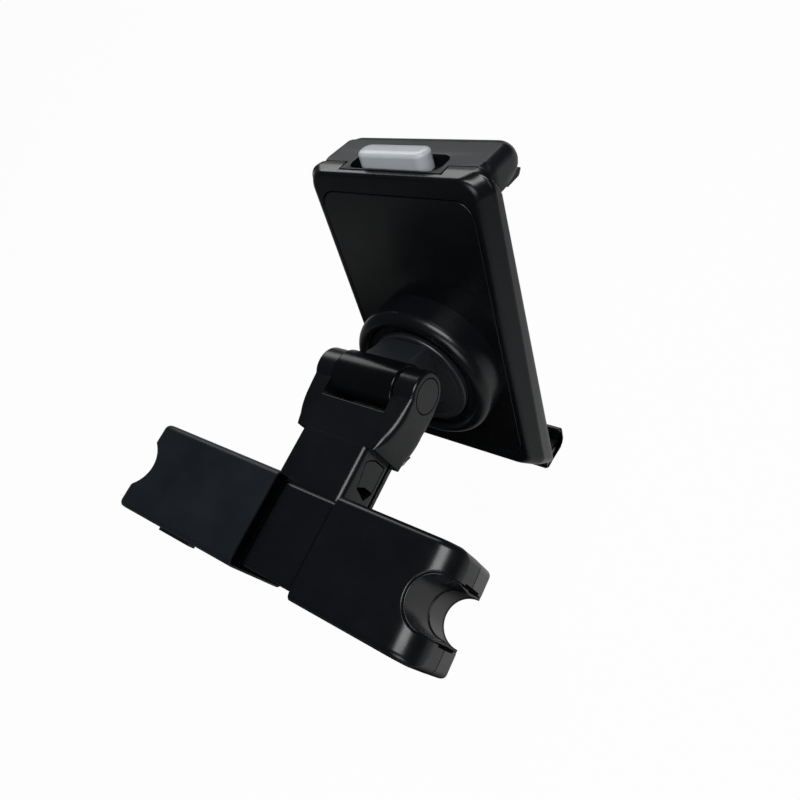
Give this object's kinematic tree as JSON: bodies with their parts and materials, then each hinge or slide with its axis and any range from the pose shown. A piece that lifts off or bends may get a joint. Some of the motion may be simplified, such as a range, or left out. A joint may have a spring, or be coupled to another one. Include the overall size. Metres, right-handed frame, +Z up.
{
  "type": "headrest tablet mount",
  "caption": "Black plastic tablet mount: telescoping clamp between headrest posts, hinged arm, swivel and sprung holder with upper and lower hooks.",
  "frame": {"origin": "on the axis of the fixed post notch, at its mid height", "axes": "X runs across the two headrest posts from the sliding jaw to the fixed jaw, Y from the clamp towards the tablet, Z up along the posts"},
  "size_m": [0.1777, 0.2039, 0.1913],
  "materials": {
    "shell_plastic": "fine satin black plastic",
    "grained_plastic": "finely grained matte black plastic",
    "polished_plastic": "polished black plastic",
    "button_plastic": "satin grey plastic",
    "grip_rubber": "soft black rubber",
    "inner_plastic": "dull dark grey moulded plastic",
    "spring_steel": "plain drawn steel",
    "screw_steel": "zinc plated steel"
  },
  "bodies": {
    "clamp": {"fixed_jaw_top": "shell_plastic", "fixed_jaw_base": "shell_plastic", "fixed_liner": "grip_rubber", "fixed_jaw_screws": "screw_steel", "jaw_spring": "spring_steel", "pawl_spring": "spring_steel", "side_button_spring": "spring_steel", "arm_cover": "shell_plastic", "arm_core": "inner_plastic", "arm_plate": "inner_plastic", "arm_screws": "screw_steel", "hinge_pin": "spring_steel", "hinge_caps": "shell_plastic", "hinge_washers": "spring_steel"},
    "sliding_jaw": {"sliding_jaw_top": "grained_plastic", "sliding_jaw_base": "grained_plastic", "sliding_liner": "grip_rubber", "sliding_jaw_screws": "screw_steel", "grip_lug": "grained_plastic", "jaw_rack": "inner_plastic"},
    "side_button": {"side_button": "polished_plastic"},
    "jaw_pawl": {"jaw_pawl": "inner_plastic"},
    "tilt_block": {"hinge_barrel": "polished_plastic", "spindle_washer": "spring_steel", "spindle_screw": "screw_steel"},
    "holder": {"dome": "shell_plastic", "dome_screws": "screw_steel", "back_shell": "shell_plastic", "back_panel": "polished_plastic", "front_plate": "shell_plastic", "lower_pad": "grip_rubber", "holder_screws": "screw_steel", "holder_rack": "inner_plastic", "slide_springs": "spring_steel"},
    "upper_hook": {"upper_slide": "shell_plastic", "upper_pad": "grip_rubber", "top_button_spring": "spring_steel"},
    "top_button": {"top_button": "button_plastic"},
    "slide_pawl": {"slide_pawl": "inner_plastic"}
  },
  "joints": [
    {"name": "jaw_slide", "type": "slide", "parent": "clamp", "child": "sliding_jaw", "axis": [-1, 0, 0], "range_m": [0, 0.04], "deforming": ["jaw_spring"]},
    {"name": "side_button_press", "type": "slide", "parent": "clamp", "child": "side_button", "axis": [-1, 0, 0], "range_m": [0, 0.002], "stiffness_N_per_m": 600, "springref_m": -0.001, "deforming": ["side_button_spring"]},
    {"name": "jaw_pawl_draw", "type": "slide", "parent": "clamp", "child": "jaw_pawl", "axis": [0, 1, 0], "range_m": [0, 0.002], "deforming": ["pawl_spring"]},
    {"name": "holder_tilt", "type": "hinge", "parent": "clamp", "child": "tilt_block", "pos_m": [-0.0773, 0.078, 0.0066], "axis": [1, 0, 0], "range_deg": [-40, 50]},
    {"name": "holder_swivel", "type": "hinge", "parent": "tilt_block", "child": "holder", "pos_m": [-0.0773, 0.07129, -0.01298], "axis": [0, 0.9461, -0.3239], "range_deg": [-90, 90]},
    {"name": "hook_slide", "type": "slide", "parent": "holder", "child": "upper_hook", "axis": [0, 0.3239, 0.9461], "range_m": [0, 0.048], "deforming": ["slide_springs"]},
    {"name": "top_button_press", "type": "slide", "parent": "upper_hook", "child": "top_button", "axis": [0, -0.3239, -0.9461], "range_m": [0, 0.002], "stiffness_N_per_m": 600, "springref_m": -0.001, "deforming": ["top_button_spring"]},
    {"name": "slide_pawl_draw", "type": "slide", "parent": "upper_hook", "child": "slide_pawl", "axis": [1, 0, 0], "range_m": [0, 0.002]}
  ],
  "couplings": [
    {"joint": "jaw_pawl_draw", "follows": "side_button_press", "ratio": 1},
    {"joint": "slide_pawl_draw", "follows": "top_button_press", "ratio": 1}
  ]
}
